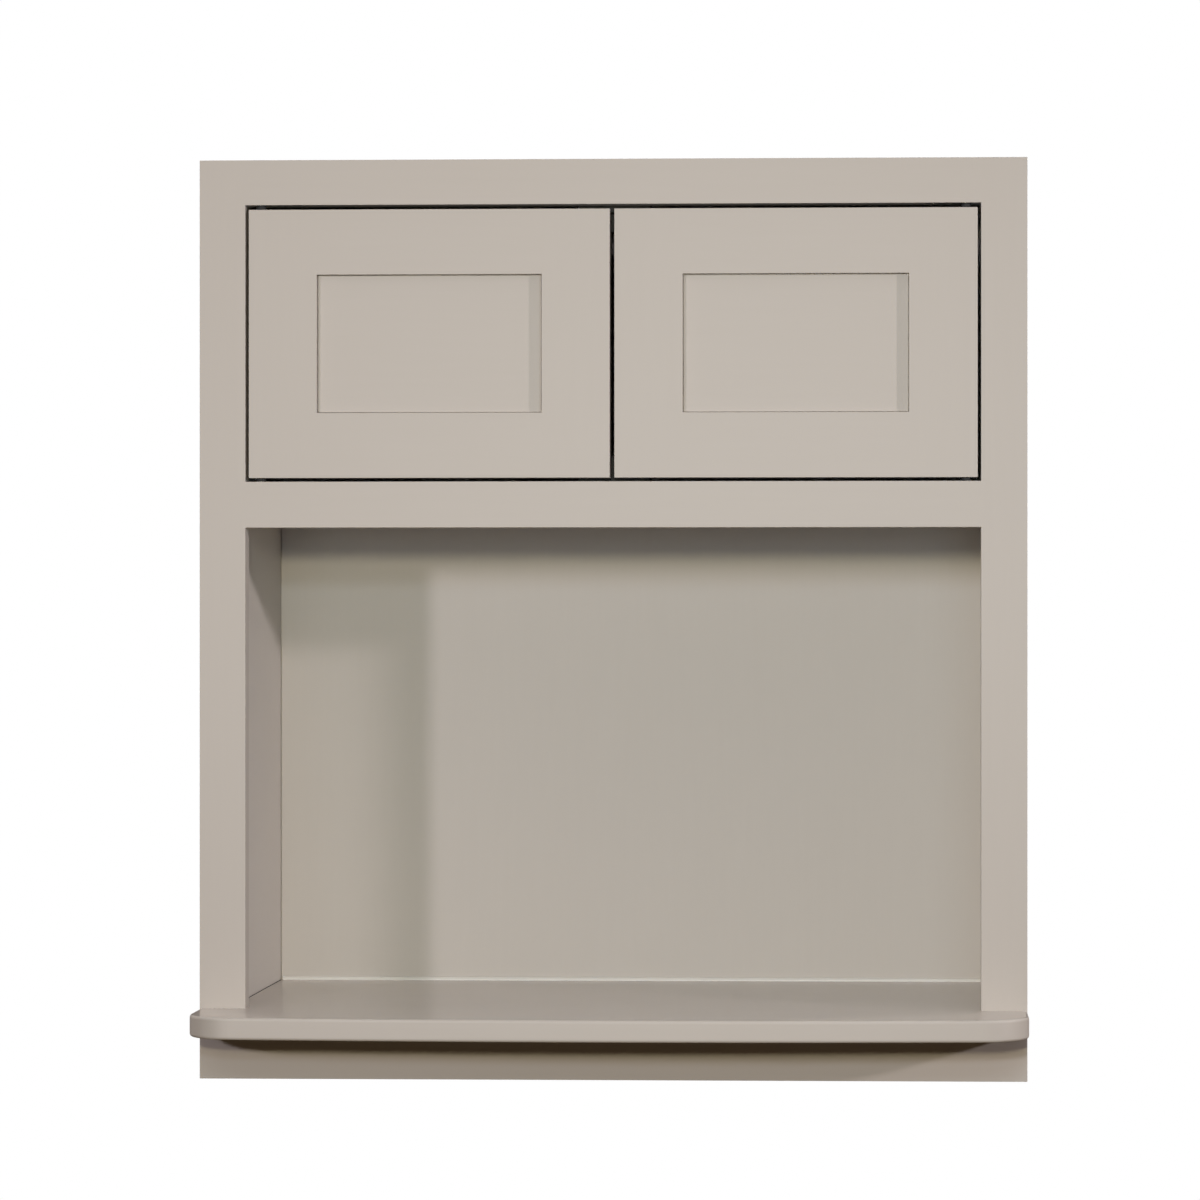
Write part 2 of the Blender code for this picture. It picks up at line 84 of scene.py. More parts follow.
FACE = left_stile[0].y
FOOT = left_stile[0].z
HEAD = left_stile[1].z
HALF_WIDTH = right_stile[1].x
OPENING_HALF = right_stile[0].x
SIDE_INSIDE = side_box[0].x
SIDE_OUTSIDE = side_box[1].x
CARCASS_FRONT = side_box[0].y
SHELF_UNDER, SHELF_TOP = shelf_box[0].z, shelf_box[1].z
BACK_FACE, BACK_REAR = back_box[0].y, back_box[1].y
X, Y, Z = 0, 1, 2
print("face at", round(FACE, 4), "opening", round(2 * OPENING_HALF, 4), "shelf top", round(SHELF_TOP, 4))

# %% [markdown]
# ## Nodes written as sums
# Shader maths soon turns into a tangle of Math nodes. A small class wraps one output socket, so an
# ordinary Python expression such as 1 - mask adds the Math node and its links. A second class holds the
# material and has one method that adds any other node.


# %% Shader helpers
class Value:
    """One output socket of a node, for use in sums."""

    def __init__(self, finish, socket):
        self.finish = finish
        self.socket = socket

    def maths(self, operation, first, second):
        return self.finish.node("ShaderNodeMath", {"operation": operation}, {0: first, 1: second})

    def __add__(self, other):
        return self.maths("ADD", self, other)

    def __radd__(self, other):
        return self.maths("ADD", other, self)

    def __sub__(self, other):
        return self.maths("SUBTRACT", self, other)

    def __rsub__(self, other):
        return self.maths("SUBTRACT", other, self)

    def __mul__(self, other):
        return self.maths("MULTIPLY", self, other)

    def __rmul__(self, other):
        return self.maths("MULTIPLY", other, self)

    def __truediv__(self, other):
        return self.maths("DIVIDE", self, other)

    def __gt__(self, other):
        return self.maths("GREATER_THAN", self, other)

    def __lt__(self, other):
        return self.maths("LESS_THAN", self, other)

    def __abs__(self):
        return self.maths("ABSOLUTE", self, 0.0)


class Finish:
    """A material and the nodes that feed its Principled shader."""

    def __init__(self, name):
        self.material = bpy.data.materials.new(name)
        self.material.use_nodes = True
        self.tree = self.material.node_tree
        self.surface = self.tree.nodes["Principled BSDF"]

    def node(self, kind, settings=None, inputs=None, output=0):
        """Adds a node, sets its settings and then its inputs, and gives back one of its outputs."""
        made = self.tree.nodes.new(kind)
        for key, value in (settings or {}).items():
            setattr(made, key, value)
        for key, value in (inputs or {}).items():
            self.feed(made.inputs[key], value)
        return Value(self, made.outputs[output])

    def feed(self, socket, value):
        if isinstance(value, Value):
            self.tree.links.new(value.socket, socket)
        else:
            socket.default_value = value

    def place(self, scale=(1.0, 1.0, 1.0)):
        """Object coordinates, squeezed along chosen axes to stretch a pattern."""
        point = self.node("ShaderNodeTexCoord", output="Object")
        return self.node("ShaderNodeMapping", {}, {"Vector": point, "Scale": scale})

    def along(self, axis, output="Object"):
        """One coordinate of the surface point, or of the object's own normal."""
        point = self.node("ShaderNodeTexCoord", output=output)
        return self.node("ShaderNodeSeparateXYZ", {}, {0: point}, output=axis)

    def noise(self, place, scale, detail=2.0, distortion=0.0):
        return self.node("ShaderNodeTexNoise", {}, {
            "Vector": place, "Scale": scale, "Detail": detail, "Distortion": distortion})

    def blend(self, share, first, second):
        """Mixes two colours."""
        sockets = {0: share, 6: first, 7: second}
        return self.node("ShaderNodeMix", {"data_type": "RGBA"}, sockets, output=2)

    def ramp(self, value, low, high):
        """0 up to low, 1 from high, and a smooth rise between."""
        sockets = {"Value": value, "From Min": low, "From Max": high}
        return self.node("ShaderNodeMapRange", {"interpolation_type": "SMOOTHSTEP"}, sockets)

    def relief(self, height, distance):
        """Lets a height of 0 to 1 stand out by as much as the distance."""
        sockets = {"Height": height, "Distance": distance, "Strength": 1.0}
        self.feed(self.surface.inputs["Normal"], self.node("ShaderNodeBump", {}, sockets))

    def wear(self, **inputs):
        """Sets inputs of the Principled shader, named with _ for a space."""
        for key, value in inputs.items():
            self.feed(self.surface.inputs[key.replace("_", " ")], value)
        return self.material


print("shader helpers are ready")

# %% [markdown]
# ## Taupe paint
# The cabinet has a sprayed satin lacquer in a warm grey. Up close it is not one flat colour: the film
# is a little uneven, the wood fibres telegraph through it as faint streaks, and the spray leaves a fine
# stipple. Three noises at those three scales give the colour, the gloss and a very shallow relief.

# %% Paint
PAINT_LIGHT = (0.520, 0.468, 0.418, 1.0)
PAINT_SHADE = (0.492, 0.440, 0.389, 1.0)
PLAIN = (1.0, 1.0, 1.0)
# painted light: the inside paint is made lighter and cooler than the front's, standing in for fill light
# inside the niche; the painted sheets use it too
INSIDE_PAINTED_FILL = (1.17, 1.20, 1.22)
PAINT_GLOSS = 0.53
INSIDE_GLOSS = 0.50
SHELF_GLOSS = 0.46
SHELF_POLISH = 0.25
POLISH_FROM, POLISH_FULL = 0.6, 0.95
PAINT_RELIEF = 0.00002
FILM_SCALE = 6.0
FIBRE_SCALE = 170.0
STIPPLE_SCALE = 620.0
GRAIN_SQUEEZE = 0.06


def squeezed(axis):
    return tuple(GRAIN_SQUEEZE if i == axis else 1.0 for i in range(3))


def lifted(colour, painted_fill):
    return tuple(part * by for part, by in zip(colour, painted_fill)) + (1.0,)


def paint_look(finish, grain, gloss, painted_fill):
    """Colour, roughness and height of the lacquer over wood whose fibres run along the grain axis."""
    film = finish.noise(finish.place(), FILM_SCALE, 3.0)
    fibres = finish.noise(finish.place(squeezed(grain)), FIBRE_SCALE, 3.0, 0.4)
    stipple = finish.noise(finish.place(), STIPPLE_SCALE, 2.0)
    shade, light = lifted(PAINT_SHADE, painted_fill), lifted(PAINT_LIGHT, painted_fill)
    colour = finish.blend(film * 0.6 + fibres * 0.4, shade, light)
    roughness = gloss * (0.92 + film * 0.10 + stipple * 0.06)
    height = fibres * 0.5 + stipple * 0.5
    return colour, roughness, height


def taupe_paint(name, grain, gloss=PAINT_GLOSS, painted_fill=PLAIN, polish=0.0):
    """The lacquer by itself. Polish makes the faces that look up smoother."""
    finish = Finish(name)
    if polish:
        looks_up = finish.ramp(finish.along(Z, "Normal"), POLISH_FROM, POLISH_FULL)
        gloss = gloss - looks_up * polish
    colour, roughness, height = paint_look(finish, grain, gloss, painted_fill)
    finish.relief(height, PAINT_RELIEF)
    return finish.wear(Base_Color=colour, Roughness=roughness)


stile_paint = taupe_paint("stile paint", Z)
rail_paint = taupe_paint("rail paint", X)
shelf_paint = taupe_paint("shelf paint", X, SHELF_GLOSS, polish=SHELF_POLISH)
# painted light: this paint carries the painted fill light of the inside
inside_paint_with_fill = taupe_paint("inside paint with painted fill", X, INSIDE_GLOSS, INSIDE_PAINTED_FILL)
print("made the paints")

# %% [markdown]
# ## Bare plywood
# Boards that no one sees once the cabinet hangs are left unpainted. The face of the sheet is a
# rotary-cut birch veneer with long soft streaks, and its edge shows the plies, light along the fibres
# and darker across them. One material can do both: the object's own normal tells the face from the
# edge.

# %% Plywood
VENEER_LIGHT = (0.690, 0.520, 0.330, 1.0)
VENEER_DARK = (0.540, 0.370, 0.205, 1.0)
PLY_LONG = (0.600, 0.430, 0.255, 1.0)
PLY_CROSS = (0.330, 0.205, 0.105, 1.0)
PLY = 0.0015
PLYWOOD_RELIEF = 0.00012
FIGURE_SCALE = 46.0
VENEER_FIBRE_SCALE = 520.0
WANDER_SCALE = 30.0
PORE_SCALE = 1400.0
CROSS_FROM, CROSS_FULL = 0.38, 0.62
FACING = 0.6


def plywood_look(finish, grain, through):
    """Colour, roughness and height of a sheet.

    The veneer's fibres run along the grain axis, and through is the axis of the sheet's thickness.
    """
    run = finish.place(squeezed(grain))
    figure = finish.noise(run, FIGURE_SCALE, 3.0, 1.6)
    fibres = finish.noise(run, VENEER_FIBRE_SCALE, 3.0, 0.3)
    veneer = finish.blend(figure * 0.65 + fibres * 0.35, VENEER_LIGHT, VENEER_DARK)
    wander = finish.noise(finish.place(), WANDER_SCALE) * 0.25
    count = finish.along(through) / PLY + wander
    turn = finish.node("ShaderNodeMath", {"operation": "PINGPONG"}, {0: count, 1: 1.0})
    pores = finish.noise(finish.place(), PORE_SCALE, 2.0)
    cross = finish.ramp(turn, CROSS_FROM, CROSS_FULL)
    edge = finish.blend(cross * (0.5 + 0.5 * pores), PLY_LONG, PLY_CROSS)
    on_edge = abs(finish.along(through, "Normal")) < FACING
    colour = finish.blend(on_edge, veneer, edge)
    roughness = 0.62 + fibres * 0.16
    height = fibres * (1 - on_edge) + pores * cross * on_edge
    return colour, roughness, height


def plywood(name, grain, through):
    finish = Finish(name)
    colour, roughness, height = plywood_look(finish, grain, through)
    finish.relief(height, PLYWOOD_RELIEF)
    return finish.wear(Base_Color=colour, Roughness=roughness)


rail_plywood = plywood("hanging rail plywood", X, Y)
cleat_plywood = plywood("cleat plywood", Y, X)
print("made bare plywood")

# %% [markdown]
# ## Painted sheets with bare backs
# The sides, the top and the back panel are the same plywood, painted where they show and bare where
# they meet the wall or the ceiling. A mask by the direction of the surface picks one look or the other,
# and a ragged rim of overspray runs a few millimetres over the bare face.

# %% Painted plywood
OVERSPRAY = 0.004
OVERSPRAY_SCALE = 90.0
BARE_RELIEF = 2.0
# painted shade: near-black for the shadow in the gap at each end of the shelf
PAINTED_GAP_SHADE = (0.020, 0.015, 0.010, 1.0)


def half_painted(name, grain, through, bare_axes, rim_axis, rim_low, rim_high, inward=0):
    """Paint all over, but for the faces that look along a bare axis, where it fades in from two rims.

    A side board is also bare where it looks inward behind the back panel, and has painted shade at the
    shelf's end.
    """
    finish = Finish(name)
    # painted light: the painted parts of the sheets take the lighter inside paint, standing in for fill
    # light
    colour, roughness, height = paint_look(finish, grain, INSIDE_GLOSS, INSIDE_PAINTED_FILL)
    wood, wood_roughness, wood_height = plywood_look(finish, grain, through)
    ragged = finish.noise(finish.place(), OVERSPRAY_SCALE, 4.0) - 0.5
    spread = finish.along(rim_axis) + ragged * OVERSPRAY * 2
    inside = finish.ramp(spread, rim_low, rim_low + OVERSPRAY)
    inside = inside * (1 - finish.ramp(spread, rim_high - OVERSPRAY, rim_high))
    bare = inside * sum(finish.along(axis, "Normal") > FACING for axis in bare_axes)
    if inward:
        looks_in = finish.along(X, "Normal") * inward > FACING
        bare = bare + looks_in * (finish.along(Y) > BACK_REAR)
        # painted shade: the inner face within the shelf's thickness, seen through the gap at its end, is
        # painted near-black as shadow
        beside = looks_in * (finish.along(Z) < SHELF_TOP) * (finish.along(Z) > SHELF_UNDER)
        colour = finish.blend(beside, colour, PAINTED_GAP_SHADE)
    finish.relief(height * (1 - bare) + wood_height * bare * BARE_RELIEF, PAINT_RELIEF)
    colour = finish.blend(bare, colour, wood)
    roughness = roughness * (1 - bare) + wood_roughness * bare
    return finish.wear(Base_Color=colour, Roughness=roughness)


back_sheet = half_painted("back sheet", Z, Y, (Y,), X, -HALF_WIDTH, HALF_WIDTH)
top_sheet = half_painted("top sheet", X, Z, (Y, Z), Y, CARCASS_FRONT, 2 * OVERSPRAY)
left_sheet = half_painted("left side sheet", Z, X, (Y,), X, -SIDE_OUTSIDE, 0.0, 1)
right_sheet = half_painted("right side sheet", Z, X, (Y,), X, 0.0, SIDE_OUTSIDE, -1)
print("made painted sheets")

# %% [markdown]
# ## Metal, nylon, magnet and silicone
# The pivots and the catch are bought-in hardware. Zinc plating is a bright metal with a cloudy,
# slightly yellow passivation. The nylon is moulded black, so that nothing bright shows in the gaps
# round the doors. A ferrite magnet is a dull dark ceramic, and the bumpers are clear silicone that
# looks frosted.

# %% Hardware finishes
ZINC_GREY = (0.60, 0.61, 0.62, 1.0)
ZINC_YELLOW = (0.70, 0.68, 0.60, 1.0)
NYLON_DARK = (0.018, 0.018, 0.019, 1.0)
NYLON_LIGHT = (0.034, 0.033, 0.032, 1.0)
FERRITE_DARK = (0.035, 0.035, 0.037, 1.0)
FERRITE_LIGHT = (0.095, 0.092, 0.090, 1.0)
SILICONE_DARK = (0.74, 0.75, 0.74, 1.0)
SILICONE_LIGHT = (0.82, 0.83, 0.82, 1.0)
CLOUD_SCALE = 240.0
SCRATCH_SCALE = 3000.0
SCRATCH_RUN = (1.0, 1.0, 0.05)
SCRATCH_RELIEF = 0.00002
MOTTLE_SCALE = 160.0
PIT_SCALE = 2200.0
PIT_RELIEF = 0.00003
GRIT_SCALE = 1800.0
GRIT_RELIEF = 0.00006
HAZE_SCALE = 500.0


def zinc_plate():
    finish = Finish("zinc plate")
    cloud = finish.noise(finish.place(), CLOUD_SCALE, 4.0, 0.8)
    scratch = finish.noise(finish.place(SCRATCH_RUN), SCRATCH_SCALE, 2.0)
    colour = finish.blend(cloud, ZINC_GREY, ZINC_YELLOW)
    finish.relief(scratch, SCRATCH_RELIEF)
    return finish.wear(Base_Color=colour, Metallic=1.0, Roughness=0.24 + cloud * 0.18)


def black_nylon():
    finish = Finish("black nylon")
    mottle = finish.noise(finish.place(), MOTTLE_SCALE, 3.0)
    finish.relief(finish.noise(finish.place(), PIT_SCALE, 2.0), PIT_RELIEF)
    colour = finish.blend(mottle, NYLON_DARK, NYLON_LIGHT)
    return finish.wear(Base_Color=colour, Roughness=0.52 + mottle * 0.12, Specular_IOR_Level=0.25)


def ferrite():
    finish = Finish("ferrite")
    grit = finish.noise(finish.place(), GRIT_SCALE, 3.0)
    finish.relief(grit, GRIT_RELIEF)
    colour = finish.blend(grit, FERRITE_DARK, FERRITE_LIGHT)
    return finish.wear(Base_Color=colour, Roughness=0.48 + grit * 0.2)


def silicone():
    finish = Finish("clear silicone")
    haze = finish.noise(finish.place(), HAZE_SCALE, 2.0)
    colour = finish.blend(haze, SILICONE_DARK, SILICONE_LIGHT)
    roughness = 0.30 + haze * 0.15
    return finish.wear(Base_Color=colour, Roughness=roughness, Transmission_Weight=0.55, IOR=1.41)


steel, nylon, magnet, rubber = zinc_plate(), black_nylon(), ferrite(), silicone()
print("made hardware finishes")

# %% [markdown]
# ## Tools for boards
# A board starts as a cube primitive at its size and place. In edit mode it is scored where another
# board meets it, and its open arrises are eased with a narrow bevel. The stretch of an edge inside a
# joint stays square, so that the painted joint closes without a groove.

# %% Board tools
ARRIS = 0.0003
ARRIS_STEPS = 3
CORNER_ANGLE = math.radians(30)
SHADE_ANGLE = math.radians(40)
NEAR = 1e-5


def only(piece):
    """Makes a piece the one selected, active object."""
    bpy.ops.object.select_all(action="DESELECT")
    piece.select_set(True)
    bpy.context.view_layer.objects.active = piece


def block(name, low, high):
    bpy.ops.object.select_all(action="DESELECT")
    middle = [(a + b) / 2 for a, b in zip(low, high)]
    size = [b - a for a, b in zip(low, high)]
    bpy.ops.mesh.primitive_cube_add(size=1.0, location=middle, scale=size)
    bpy.ops.object.transform_apply(location=True, rotation=True, scale=True)
    made = bpy.context.object
    made.name = name
    made.data.name = name
    return made


def score(piece, axis, places):
    """Cuts the piece's faces, square to an axis, at each place along it."""
    only(piece)
    bpy.ops.object.mode_set(mode="EDIT")
    normal = [0.0, 0.0, 0.0]
    normal[axis] = 1.0
    for place in places:
        point = [0.0, 0.0, 0.0]
        point[axis] = place
        bpy.ops.mesh.select_all(action="SELECT")
        bpy.ops.mesh.bisect(plane_co=point, plane_no=normal)
    bpy.ops.object.mode_set(mode="OBJECT")


def is_corner(edge):
    return edge.calc_face_angle(0.0) > CORNER_ANGLE


def pick_edges(piece, wanted):
    """Goes into edit mode with the wanted edges selected, by their middle or by the edge itself."""
    only(piece)
    bpy.ops.object.mode_set(mode="EDIT")
    bpy.ops.mesh.select_mode(type="EDGE")
    bpy.ops.mesh.select_all(action="DESELECT")
    shape = bmesh.from_edit_mesh(piece.data)
    for edge in shape.edges:
        middle = (edge.verts[0].co + edge.verts[1].co) / 2
        if wanted(middle, edge):
            edge.select_set(True)
    bmesh.update_edit_mesh(piece.data)


def bevel(piece, wanted, width, steps):
    """Rounds the wanted edges."""
    pick_edges(piece, wanted)
    bpy.ops.mesh.bevel(offset=width, segments=steps, affect="EDGES")
    bpy.ops.object.mode_set(mode="OBJECT")


def ease(piece, stays_square, width=ARRIS, steps=ARRIS_STEPS):
    """Rounds every corner edge but those that stay square."""
    bevel(piece, lambda middle, edge: is_corner(edge) and not stays_square(middle), width, steps)


def smooth(piece):
    only(piece)
    bpy.ops.object.shade_smooth_by_angle(angle=SHADE_ANGLE)


def cut_by(piece, cutter):
    """Takes a cutter's shape out of a piece, and the cutter away."""
    only(piece)
    cut = piece.modifiers.new("cut", "BOOLEAN")
    cut.object = cutter
    bpy.ops.object.modifier_apply(modifier=cut.name)
    bpy.data.objects.remove(cutter, do_unlink=True)


def carve(piece, low, high):
    """Takes a box out of a piece."""
    cut_by(piece, block("cutter", low, high))


def settle(piece, finish, node):
    """Gives a finished piece its material and lets it stand for its CAD node, on the same body."""
    piece.data.materials.clear()
    piece.data.materials.append(finish)
    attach(piece, nodes[node]["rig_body"])
    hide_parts(node)


print("board tools are ready")

# %% [markdown]
# ## The face frame
# Two stiles run the full height and three rails butt between them. On the real cabinet the joints are
# glued, sanded flush and painted over, so the front reads as one surface. The stiles are scored at the
# rails' edges, and only the open stretches between the rails are eased. The top rail is planed a little
# narrower than in the CAD, with its leaves let in as much higher, because the gap under it looks wide.

# %% Face frame
FIT = 0.0003
TOP_REVEAL = 0.0008
RAILS = ("top_face_rail", "middle_face_rail", "bottom_face_rail")


def lift(name):
    """How much higher than in the CAD the top rail's underside and what is let into it lie."""
    return TOP_REVEAL if name == "top_face_rail" or "upper_frame_leaf" in name else 0.0


rail_spans = [(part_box(rail)[0].z + lift(rail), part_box(rail)[1].z) for rail in RAILS]


def joint_test(x, spans):
    """A test for points on the upright plane at x that lie within one of the spans of height."""
    def in_joint(middle):
        return abs(middle.x - x) < NEAR and any(a - NEAR < middle.z < b + NEAR for a, b in spans)

    return in_joint


def make_frame_stile(side, inner):
    low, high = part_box(f"{side}_face_stile")
    stile = block(f"{side}_face_stile_painted", low, high)
    score(stile, Z, [z for span in rail_spans for z in span if FOOT + NEAR < z < HEAD - NEAR])
    ease(stile, joint_test(inner, rail_spans))
    settle(stile, stile_paint, f"{side}_face_stile")


def make_frame_rail(name):
    low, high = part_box(name)
    foot = low.z + lift(name)
    rail = block(f"{name}_painted", (-OPENING_HALF, low.y, foot), (OPENING_HALF, high.y, high.z))
    ease(rail, lambda middle: abs(abs(middle.x) - OPENING_HALF) < NEAR)
    return rail


def seat_leaf(piece, leaf):
    """Cuts the shallow recess that a pivot leaf is let into."""
    low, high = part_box(leaf)
    gap = Vector((FIT, FIT, FIT))
    up = Vector((0.0, 0.0, lift(leaf)))
    carve(piece, low - gap, high + gap + up)


make_frame_stile("left", -OPENING_HALF)
make_frame_stile("right", OPENING_HALF)
for rail_name, level in zip(RAILS, ("upper", "lower", None)):
    rail = make_frame_rail(rail_name)
    if level:
        for side in ("left", "right"):
            seat_leaf(rail, f"{side}_{level}_frame_leaf")
    settle(rail, rail_paint, rail_name)
print("made the face frame")

# %% [markdown]
# ## The doors
# Each door is a flat panel in a square-edged frame of two stiles and two rails. The members are butted
# like the face frame's, and a groove is carved in them for the panel, so the panel stands back from
# both faces. A fine line is carved in the panel along its frame, where the paint doesn't close the
# joint. As a fitter would, both upright edges of a door are planed a little, so that it swings free and
# the gaps look dark.

# %% Doors
GROOVE_CLEARANCE = 0.0001
JOINT_LINE = 0.0007
JOINT_DEPTH = 0.0030
EDGE_TRIM = 0.0004
MEMBERS = ("hinge_stile", "meeting_stile", "top_rail", "bottom_rail", "panel")


def make_door(side):
    part = {key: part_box(f"{side}_door_{key}") for key in MEMBERS}
    stiles = sorted((part["hinge_stile"], part["meeting_stile"]), key=lambda box: box[0].x)
    inner = (stiles[0][1].x, stiles[1][0].x)
    rails = [(part[key][0].z, part[key][1].z) for key in ("bottom_rail", "top_rail")]
    low_z, high_z = rails[0][1], rails[1][0]
    gap = Vector((GROOVE_CLEARANCE,) * 3)
    groove = part["panel"][0] - gap, part["panel"][1] + gap

    for key in ("hinge_stile", "meeting_stile"):
        low, high = part[key]
        if abs(high.x - inner[0]) < NEAR:
            joint, ends = high.x, (low.x + EDGE_TRIM, high.x)
        else:
            joint, ends = low.x, (low.x, high.x - EDGE_TRIM)
        name = f"{side}_door_{key}"
        stile = block(f"{name}_painted", (ends[0], low.y, low.z), (ends[1], high.y, high.z))
        score(stile, Z, (low_z, high_z))
        ease(stile, joint_test(joint, rails))
        carve(stile, *groove)
        if key == "hinge_stile":
            for level in ("upper", "lower"):
                seat_leaf(stile, f"{side}_{level}_door_leaf")
        settle(stile, stile_paint, name)

    for key in ("top_rail", "bottom_rail"):
        low, high = part[key]
        name = f"{side}_door_{key}"
        rail = block(f"{name}_painted", (inner[0], low.y, low.z), (inner[1], high.y, high.z))
        ease(rail, lambda middle: min(abs(middle.x - end) for end in inner) < NEAR)
        carve(rail, *groove)
        settle(rail, rail_paint, name)

    panel = block(f"{side}_door_panel_painted", *part["panel"])
    ease(panel, lambda middle: False)
    near, far = groove[0].y, part["panel"][0].y + JOINT_DEPTH
    for x in (inner[0], inner[1] - JOINT_LINE):
        carve(panel, (x, near, low_z), (x + JOINT_LINE, far, high_z))
    for z in (low_z, high_z - JOINT_LINE):
        carve(panel, (inner[0], near, z), (inner[1], far, z + JOINT_LINE))
    settle(panel, rail_paint, f"{side}_door_panel")


for side in ("left", "right"):
    make_door(side)
print("made two doors")

# %% [markdown]
# ## The bow-front shelf
# The shelf carries the microwave. It reaches past the frame, its front bows out a little, and its ears
# are rounded to a 40 mm radius. It starts as one block, scored into columns that are pushed back along
# the bow. The ears come from a wide bevel on the two front corners, and the notches for the frame are
# carved last.

# %% Shelf
BOW_RISE = 0.014
EAR_RADIUS = 0.040
EAR_STEPS = 18
NOSE_ROUND = 0.0025
NOSE_STEPS = 5
BOW_COLUMNS = 40
SHELF_END_GAP = 0.0012
CUT_PAST = 0.002
DIGITS = 5

shelf_front = shelf_box[0].y
bow_radius = (HALF_WIDTH**2 + BOW_RISE**2) / (2 * BOW_RISE)
ear_x = HALF_WIDTH - EAR_RADIUS
ear_reach = math.sqrt((bow_radius - EAR_RADIUS) ** 2 - ear_x**2)
ear_turn = math.atan2(ear_x, ear_reach)
tangent_x = bow_radius * math.sin(ear_turn)


def bow_back(x):
    """How far the front edge falls back from its middle."""
    return bow_radius - math.sqrt(bow_radius**2 - x**2)


def make_shelf():
    low = (-HALF_WIDTH, shelf_front, SHELF_UNDER)
    high = (HALF_WIDTH, shelf_box[1].y, SHELF_TOP)
    shelf = block("microwave_shelf_painted", low, high)
    columns = [tangent_x * (2 * i / BOW_COLUMNS - 1) for i in range(BOW_COLUMNS + 1)]
    score(shelf, X, columns)
    score(shelf, Y, (FACE,))
    corner_back = bow_back(tangent_x) + (HALF_WIDTH - tangent_x) * math.tan(ear_turn)
    push = {round(x, DIGITS): bow_back(x) for x in columns}
    push[round(HALF_WIDTH, DIGITS)] = push[round(-HALF_WIDTH, DIGITS)] = corner_back
    bpy.ops.object.mode_set(mode="EDIT")
    bpy.ops.mesh.select_mode(type="VERT")
    for x, back in push.items():
        bpy.ops.mesh.select_all(action="DESELECT")
        shape = bmesh.from_edit_mesh(shelf.data)
        for point in shape.verts:
            if abs(point.co.x - x) < 2 * NEAR and point.co.y < FACE - EAR_RADIUS:
                point.select_set(True)
        bmesh.update_edit_mesh(shelf.data)
        bpy.ops.transform.translate(value=(0.0, back, 0.0))
    bpy.ops.object.mode_set(mode="OBJECT")
    run = math.hypot(HALF_WIDTH - tangent_x, (HALF_WIDTH - tangent_x) * math.tan(ear_turn))
    front_corner = shelf_front + corner_back

    def on_front_corner(middle, edge):
        return abs(abs(middle.x) - HALF_WIDTH) < NEAR and abs(middle.y - front_corner) < NEAR

    bevel(shelf, on_front_corner, run - NEAR, EAR_STEPS)
    ease(shelf, lambda middle: middle.y > FACE - NEAR, NOSE_ROUND, NOSE_STEPS)
    for sign in (-1, 1):
        for inner, near, far in (
            (OPENING_HALF, FACE, CARCASS_FRONT),
            (SIDE_INSIDE - SHELF_END_GAP, CARCASS_FRONT - FIT, shelf_box[1].y + CUT_PAST),
        ):
            xs = sorted((sign * inner, sign * (HALF_WIDTH + CUT_PAST)))
            carve(shelf, (xs[0], near, SHELF_UNDER - CUT_PAST), (xs[1], far, SHELF_TOP + CUT_PAST))
    smooth(shelf)
    flat = shelf.modifiers.new("flat faces", "WEIGHTED_NORMAL")
    flat.keep_sharp = True
    bpy.ops.object.modifier_apply(modifier=flat.name)
    settle(shelf, shelf_paint, "microwave_shelf")
    return shelf


shelf = make_shelf()
print("made the shelf", len(shelf.data.polygons), "faces")

# %% [markdown]
# ## The bead behind the shelf
# A thin bead of filler closes the joint between the shelf and the back panel, and its rounded edge catches
# the light.
# Its pale colour is partly the filler's own and partly a painted highlight, so that the joint shows as a
# fine bright line.
# It is a long square stick with one edge bevelled to a quarter round.

# %% Bead
BEAD = 0.0030
BEAD_END_GAP = 0.002
BEAD_STEPS = 6
LUMP_SCALE = 90.0
# painted highlight: the filler is made much paler than the paint, partly standing in for the bright line
# along the joint
FILLER_HIGHLIGHT_DARK = (0.76, 0.73, 0.67, 1.0)
FILLER_HIGHLIGHT_LIGHT = (0.82, 0.79, 0.74, 1.0)


def make_bead():
    finish = Finish("pale filler with painted highlight")
    lumps = finish.noise(finish.place(), LUMP_SCALE, 2.0)
    colour = finish.blend(lumps, FILLER_HIGHLIGHT_DARK, FILLER_HIGHLIGHT_LIGHT)
    finish.wear(Base_Color=colour, Roughness=0.45)
    reach = SIDE_INSIDE - BEAD_END_GAP
    low = (-reach, BACK_FACE - BEAD, SHELF_TOP)
    bead = block("shelf_bead", low, (reach, BACK_FACE, SHELF_TOP + BEAD))

    def on_open_edge(middle, edge):
        return abs(middle.y - low[Y]) < NEAR and middle.z > SHELF_TOP + BEAD - NEAR

    bevel(bead, on_open_edge, BEAD - NEAR, BEAD_STEPS)
    smooth(bead)
    bead.data.materials.append(finish.material)
    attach(bead, nodes["back_panel"]["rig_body"])


make_bead()
print("made the bead")

# %% [markdown]
# ## Round tools for hardware
# Screws, holes and countersinks are all stepped round bars. A cylinder primitive is the start, and its
# end faces are extruded and scaled to add each step. A finished model is copied to every place where
# the CAD has one, and the move and turn go into the copy's own mesh.

# %% Round tools
ROUND_SIDES = 28
END_FACING = 0.9
UPRIGHT = Matrix.Identity(4)
TURN_OVER = Matrix.Rotation(math.pi, 4, "X")
TURN_ROUND = Matrix.Rotation(math.pi, 4, "Z")


def pick_faces(piece, wanted):
    """Goes into edit mode with the faces selected whose middle and normal are wanted."""
    only(piece)
    bpy.ops.object.mode_set(mode="EDIT")
    bpy.ops.mesh.select_mode(type="FACE")
    bpy.ops.mesh.select_all(action="DESELECT")
    shape = bmesh.from_edit_mesh(piece.data)
    for face in shape.faces:
        if wanted(face.calc_center_median(), face.normal):
            face.select_set(True)
    bmesh.update_edit_mesh(piece.data)


